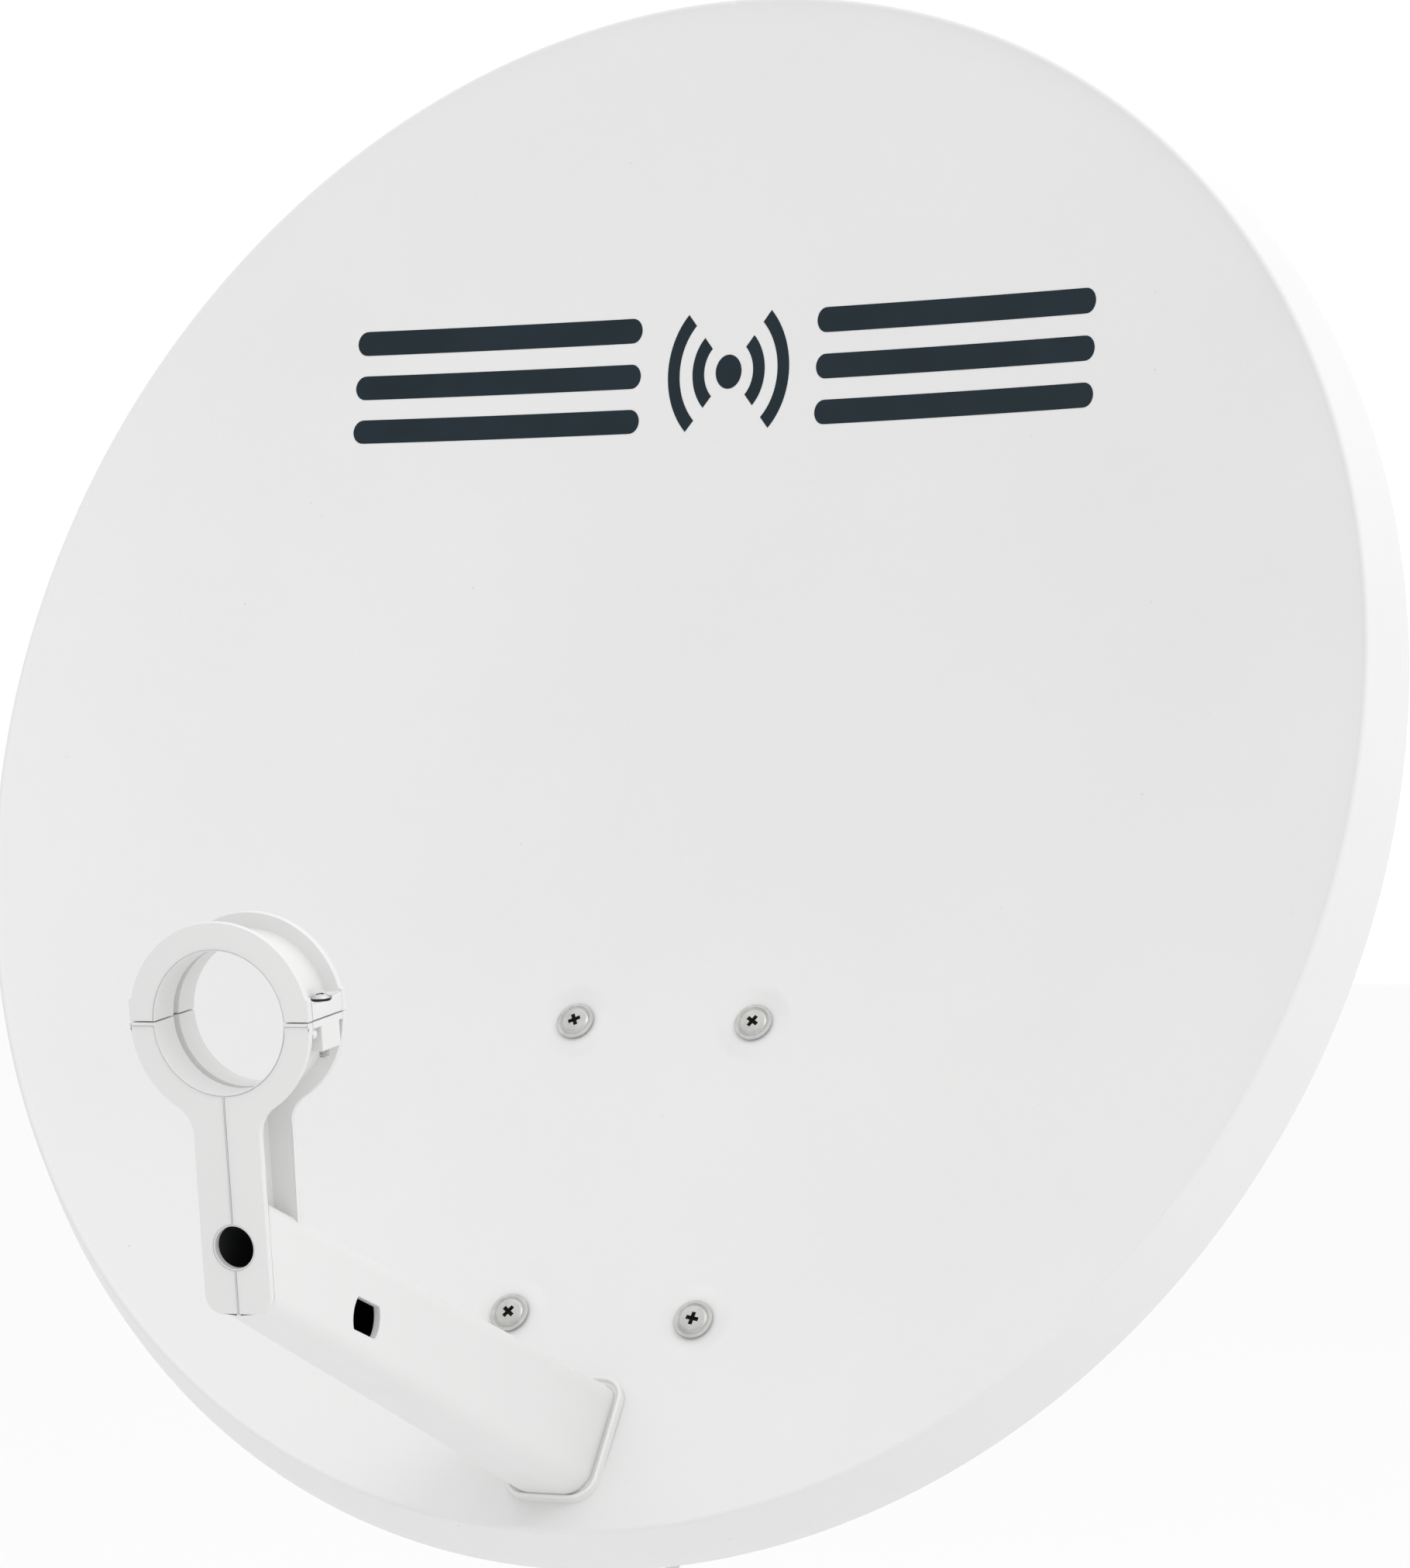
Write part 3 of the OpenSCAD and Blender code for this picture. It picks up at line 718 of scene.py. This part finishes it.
def cross_hardware(label, place, d, pitch, across_flats, head, nut_h, washer_d):
    """Bolt, two washers and nut through all four cheeks."""
    reach = CHEEK_FACE + WASHER_T
    bolt = hex_bolt(d, pitch, across_flats, head, 2 * reach + head + 4, 20)
    rings = [across(place, CHEEK_FACE + 0.05, side) for side in (-1, 1)]
    return (
        fasteners(label + "_bolt_set", bolt, [across(place, reach, 1)]),
        fasteners(label + "_washer_set", washer(washer_d, d + 0.4, 1.5), rings),
        fasteners(label + "_nut_set", hex_nut(d, across_flats, nut_h), [across(place, reach, -1)]),
    )


def mast_hardware():
    """Bolts, washers and nuts of the mast clamp."""
    web = MAST_R + 2.5
    rest = web + PLATE_T
    heads = [shift(side * MAST_BOLT_X, -rest, 0) @ turn_x(pi / 2) for side in (-1, 1)]
    rings = [shift(side * MAST_BOLT_X, rest, 0) @ turn_x(-pi / 2) for side in (-1, 1)]
    nuts = [place @ shift(0, 0, WASHER_T) @ turn_z(0.35) for place in rings]
    return (
        fasteners("mast_bolt_set", hex_bolt(8, 1.25, 13, 5.3, 88, 46), heads),
        fasteners("jaw_washer_set", washer(16, 8.4, WASHER_T), rings),
        fasteners("jaw_nut_set", hex_nut(8, 13, 6.5), nuts),
    )


SCALE_R = LOCK_R + 8.2
SCALE_STEP = 5


def mast_bracket():
    """Bracket with a stamped elevation scale beside each slot."""
    obj = from_cad("mast_bracket", "mast_bracket_plate", 0.7)
    parts = []
    for side in (-1, 1):
        for step in range(-5, 6):
            angle = LOCK_ANGLE + radians(SCALE_STEP * step)
            reach = 3.4 if step % 2 == 0 else 2.2
            place = IN_PIVOT @ turn_x(angle) @ shift(side * CHEEK_FACE, SCALE_R - reach / 2, 0)
            block = [
                rounded_box(-reach / 2 + c, reach / 2 - c, -0.3 + c, 0.3 - c, (0.1, 0.1), 1)
                for c in (0, 0, 0.12)
            ]
            heights = (-0.1, 0.15, 0.25)
            rings = [[(side * h, x, y) for x, y in ring] for ring, h in zip(block, heights)]
            parts.append((*skin(rings), place))
    join_into(obj, make("scale", parts))
    return smooth(obj)


def join_into(obj, other):
    """Adds other's mesh to obj and deletes other."""
    bm = bmesh.new()
    bm.from_mesh(obj.data)
    bm.from_mesh(other.data)
    bm.to_mesh(obj.data)
    bm.free()
    bpy.data.objects.remove(other)


# ---------------------------------------------------------------- materials


class Shader:
    """Small wrapper that adds nodes to one material and links them by name."""

    def __init__(self, name, color, roughness, metallic=0.0, specular=0.5):
        self.material = bpy.data.materials.new(name)
        self.material.use_nodes = True
        self.tree = self.material.node_tree
        self.bsdf = self.tree.nodes["Principled BSDF"]
        self.bsdf.inputs["Base Color"].default_value = (*color, 1)
        self.bsdf.inputs["Roughness"].default_value = roughness
        self.bsdf.inputs["Metallic"].default_value = metallic
        self.bsdf.inputs["Specular IOR Level"].default_value = specular
        self.place = self.add("TexCoord").outputs["Object"]
        self.normal = None

    def add(self, kind, **sockets):
        node = self.tree.nodes.new("ShaderNode" + kind)
        for key, value in sockets.items():
            self.put(node.inputs[key.replace("_", " ")], value)
        return node

    def put(self, socket, value):
        """Links an output to the socket, or sets a plain value on it."""
        if isinstance(value, bpy.types.NodeSocket):
            self.tree.links.new(value, socket)
        else:
            socket.default_value = value

    def noise(self, scale, detail=3.0, roughness=0.5, stretch=(1, 1, 1)):
        """Noise of about 1/scale metres a cell."""
        place = self.add("Mapping", Vector=self.place)
        place.inputs["Scale"].default_value = stretch
        noise = self.add("TexNoise", Vector=place.outputs[0], Scale=scale, Detail=detail)
        noise.inputs["Roughness"].default_value = roughness
        return noise.outputs["Fac"]

    def remap(self, value, low, high, to_low, to_high):
        node = self.add("MapRange", Value=value)
        node.inputs["From Min"].default_value = low
        node.inputs["From Max"].default_value = high
        node.inputs["To Min"].default_value = to_low
        node.inputs["To Max"].default_value = to_high
        return node.outputs[0]

    def mix(self, factor, first, second):
        """Colour mix; first and second are colours or outputs."""
        node = self.tree.nodes.new("ShaderNodeMix")
        node.data_type = "RGBA"
        self.put(node.inputs[0], factor)
        self.put(node.inputs[6], first)
        self.put(node.inputs[7], second)
        return node.outputs[2]

    def bump(self, height, distance, strength=1.0):
        """Adds a bump on top of those made before; the distance is in mm."""
        node = self.add("Bump", Height=height, Strength=strength, Distance=distance * MM)
        if self.normal is not None:
            self.tree.links.new(self.normal, node.inputs["Normal"])
        self.normal = node.outputs[0]

    def done(self, color=None, roughness=None):
        """Links what was worked out to the shader and returns the material."""
        if color is not None:
            self.put(self.bsdf.inputs["Base Color"], color)
        if roughness is not None:
            self.put(self.bsdf.inputs["Roughness"], roughness)
        if self.normal is not None:
            self.put(self.bsdf.inputs["Normal"], self.normal)
        return self.material


def shade(color, factor):
    """The colour times the factor, with full alpha."""
    return (*[c * factor for c in color], 1)


def powder_coat(name, color, grain=0.02, specks=0.5, roughness=0.44):
    """Satin powder coat: orange peel, fine grain, cloudy tone, a few faint specks."""
    s = Shader(name, color, roughness)
    cloud = s.remap(s.noise(7, 4, 0.6), 0.3, 0.7, 0, 1)
    tone = s.mix(cloud, shade(color, 0.985), shade(color, 1.012))
    grime = s.remap(s.noise(55, 5, 0.65), 0.62, 0.85, 0, 0.10)
    tone = s.mix(grime, tone, shade(color, 0.86))
    spot = s.add("TexVoronoi", Vector=s.place, Scale=95.0)
    small = s.remap(spot.outputs["Distance"], 0.03, 0.055, specks, 0)
    rare = s.remap(s.noise(31, 1), 0.60, 0.64, 0, 1)
    speck = s.add("Math", Value=small)
    speck.operation = "MULTIPLY"
    s.put(speck.inputs[1], rare)
    tone = s.mix(speck.outputs[0], tone, shade(color, 0.72))
    s.bump(s.noise(260, 2), 0.02)
    s.bump(s.noise(1500, 2), grain)
    gloss = s.remap(s.noise(18, 3), 0.3, 0.7, roughness - 0.04, roughness + 0.05)
    return s.done(tone, gloss)


def moulded(name, color, roughness=0.46, grain=0.012):
    """Moulded plastic: spark-eroded grain, faint flow marks and slightly uneven gloss."""
    s = Shader(name, color, roughness, specular=0.45)
    flow = s.remap(s.noise(14, 3, 0.5, (1, 0.35, 0.35)), 0.3, 0.7, 0, 1)
    tone = s.mix(flow, shade(color, 0.98), shade(color, 1.015))
    scuff = s.remap(s.noise(120, 4, 0.7), 0.66, 0.8, 0, 0.12)
    tone = s.mix(scuff, tone, shade(color, 0.85))
    s.bump(s.noise(2100, 2), grain)
    s.bump(s.noise(90, 2), 0.02)
    gloss = s.remap(s.noise(60, 3), 0.3, 0.7, roughness - 0.05, roughness + 0.06)
    return s.done(tone, gloss)


def plated(name, color, roughness=0.3):
    """Zinc plate: cloudy passivation, turning marks and small scratches."""
    s = Shader(name, color, roughness, metallic=1.0)
    cloud = s.remap(s.noise(180, 4, 0.6), 0.35, 0.7, 0, 1)
    tone = s.mix(cloud, shade(color, 0.86), shade(color, 1.06))
    warm = s.remap(s.noise(60, 2), 0.5, 0.75, 0, 0.35)
    tone = s.mix(warm, tone, (color[0], color[1] * 0.97, color[2] * 0.88, 1))
    s.bump(s.noise(900, 3), 0.012)
    s.bump(s.noise(240, 3, 0.6, (1, 1, 9)), 0.01)
    gloss = s.remap(s.noise(300, 3), 0.3, 0.7, roughness - 0.08, roughness + 0.12)
    return s.done(tone, gloss)


def ink(name, color):
    """Printed mark with the coat's own grain showing through."""
    s = Shader(name, color, 0.42, specular=0.25)
    cloud = s.remap(s.noise(40, 3), 0.3, 0.7, 0, 1)
    tone = s.mix(cloud, shade(color, 0.9), shade(color, 1.15))
    s.bump(s.noise(260, 2), 0.02)
    s.bump(s.noise(1500, 2), 0.02)
    gloss = s.remap(s.noise(18, 3), 0.3, 0.7, 0.38, 0.47)
    return s.done(tone, gloss)


def studio_floor(name, color):
    """Pale paper floor with a very faint tone change."""
    s = Shader(name, color, 0.8, specular=0.2)
    cloud = s.remap(s.noise(0.7, 2), 0.3, 0.7, 0, 1)
    return s.done(s.mix(cloud, shade(color, 0.995), shade(color, 1.0)))


MATERIALS = {
    "reflector_paint": powder_coat("reflector_coat", (0.79, 0.79, 0.788)),
    "painted_bolt": plated("bolt_coat", (0.60, 0.60, 0.59), 0.36),
    "zinc": plated("zinc_plate", (0.66, 0.67, 0.68)),
    "bracket_steel": powder_coat("bracket_coat", (0.60, 0.605, 0.605), 0.03, 0.7, 0.5),
    "arm_plastic": moulded("arm_plastic_grain", (0.77, 0.77, 0.766)),
    "collar_plastic": moulded("collar_plastic_grain", (0.80, 0.80, 0.79), 0.4),
    "dark_plastic": moulded("dark_plastic_grain", (0.035, 0.036, 0.038), 0.5, 0.02),
}
MARK_INK = ink("mark_ink", (0.006, 0.0165, 0.024))
# Near-black material painted into the screw recesses as shade and under the screw heads as contact
# shadow.
RECESS_PAINTED_SHADE = moulded("recess_painted_shade", (0.012, 0.012, 0.011), 0.8, 0.03)
# Near-black material painted inside the hollow arm as shade.
ARM_INSIDE = moulded("arm_inside_shade", (0.06, 0.063, 0.064), 0.8, 0.02)

# ---------------------------------------------------------------- pieces on their bodies


def use(obj, body, slot, *nodes):
    """Gives a piece its material and body, and hides the CAD nodes that it stands for."""
    obj.data.materials.append(MATERIALS[slot])
    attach(obj, body)
    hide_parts(*nodes)


ARM_EDGE = 0.35

use(reflector_shell(), "dish", "reflector_paint", "reflector")
use(arm_collar(), "dish", "collar_plastic", "arm_collar")
for screws, body, slot, node in [
    (face_bolts(), "dish", "painted_bolt", "face_bolts"),
    (cap_screws(), "clamp_cap", "zinc", "cap_screws"),
]:
    use(screws, body, slot, node)
    # Second material: painted shade in the recesses and painted shadow under the heads.
    screws.data.materials.append(RECESS_PAINTED_SHADE)
use(mast_bracket(), "mast_mount", "bracket_steel", "mast_bracket")

arm = smooth(from_cad("feed_arm", "feed_arm_detail", ARM_EDGE))
use(arm, "dish", "arm_plastic", "feed_arm")
arm.data.materials.append(ARM_INSIDE)
darken_inside(arm)

for node, body, slot, width in [
    ("feed_cap", "clamp_cap", "arm_plastic", ARM_EDGE),
    ("arm_plug", "dish", "dark_plastic", 0.4),
    ("dish_bracket", "dish", "bracket_steel", 0.7),
    ("mast_jaw", "jaw", "bracket_steel", 0.5),
    ("pivot_spacer", "dish", "dark_plastic", 0.4),
    ("lock_spacer", "dish", "dark_plastic", 0.4),
]:
    use(smooth(from_cad(node, node + "_detail", width)), body, slot, node)

for made, body, nodes in [
    (back_hardware(), "dish", ("back_washers", "back_nuts")),
    (arm_hardware(), "dish", ("arm_bolts", "arm_nuts")),
    (
        cross_hardware("pivot", IN_PIVOT, 8, 1.25, 13, 5.3, 6.5, 16),
        "mast_mount",
        ("pivot_bolt", "pivot_washers", "pivot_nut"),
    ),
    (
        cross_hardware("lock", IN_LOCK, 6, 1, 10, 4, 5, 14),
        "dish",
        ("lock_bolt", "lock_washers", "lock_nut"),
    ),
]:
    for obj, node in zip(made, nodes):
        use(obj, body, "zinc", node)

mast_bolt_set, jaw_washer_set, jaw_nut_set = mast_hardware()
use(mast_bolt_set, "mast_mount", "zinc", "mast_bolts")
use(jaw_washer_set, "jaw", "zinc", "jaw_washers")
use(jaw_nut_set, "jaw", "zinc", "jaw_nuts")

mark = signal_mark()
mark.data.materials.append(MARK_INK)
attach(mark, "dish")

# ---------------------------------------------------------------- stage, light and camera

FLOOR_DROP = 0.22
FLOOR_RADIUS = 60


def stage():
    """Wide pale floor a little below the dish, which hangs from its mast clamp."""
    z = cad_box[0].z - FLOOR_DROP
    verts = [(x, y, z) for x, y in arc(0, 0, FLOOR_RADIUS, 0, 360, 64)[:-1]]
    mesh = bpy.data.meshes.new("stage_floor")
    mesh.from_pydata(verts, [], [tuple(range(len(verts)))])
    obj = bpy.data.objects.new("stage_floor", mesh)
    bpy.context.scene.collection.objects.link(obj)
    mesh.materials.append(studio_floor("stage_paper", (0.84, 0.84, 0.84)))


def soft_light(name, place, aim, size, energy):
    """Round area light at a place, aimed at a point."""
    lamp = bpy.data.lights.new(name, "AREA")
    lamp.shape = "DISK"
    lamp.size = size
    lamp.energy = energy
    obj = bpy.data.objects.new(name, lamp)
    obj.location = place
    obj.rotation_euler = (Vector(aim) - Vector(place)).to_track_quat("-Z", "Y").to_euler()
    bpy.context.scene.collection.objects.link(obj)


def surroundings(level, right, behind, above):
    """White studio, brighter by these amounts to the right, behind the dish and overhead."""
    world = bpy.data.worlds.new("studio")
    world.use_nodes = True
    tree = world.node_tree
    tree.nodes["Background"].inputs["Color"].default_value = (1, 1, 1, 1)
    way = tree.nodes.new("ShaderNodeTexCoord").outputs["Generated"]
    slope = tree.nodes.new("ShaderNodeVectorMath")
    slope.operation = "DOT_PRODUCT"
    slope.inputs[1].default_value = (right, behind, above)
    tree.links.new(way, slope.inputs[0])
    total = tree.nodes.new("ShaderNodeMath")
    total.inputs[1].default_value = level
    tree.links.new(slope.outputs["Value"], total.inputs[0])
    tree.links.new(total.outputs[0], tree.nodes["Background"].inputs["Strength"])
    bpy.context.scene.world = world


def camera():
    """Camera level with the dish, to the right of its axis and looking slightly up."""
    data = bpy.data.cameras.new("camera")
    data.lens = 95.7
    obj = bpy.data.objects.new("camera", data)
    obj.location = (0.5612, -1.4056, 0.0792)
    obj.rotation_euler = (radians(92.33), radians(-0.1), radians(22.40))
    bpy.context.scene.collection.objects.link(obj)
    bpy.context.scene.camera = obj


stage()
surroundings(level=0.87, right=0.08, behind=0.18, above=0.40)
soft_light("key", place=(2.2, -1.4, 2.4), aim=(0, -0.1, 0.15), size=1.6, energy=12)
camera()
bpy.context.scene.view_settings.view_transform = "Standard"
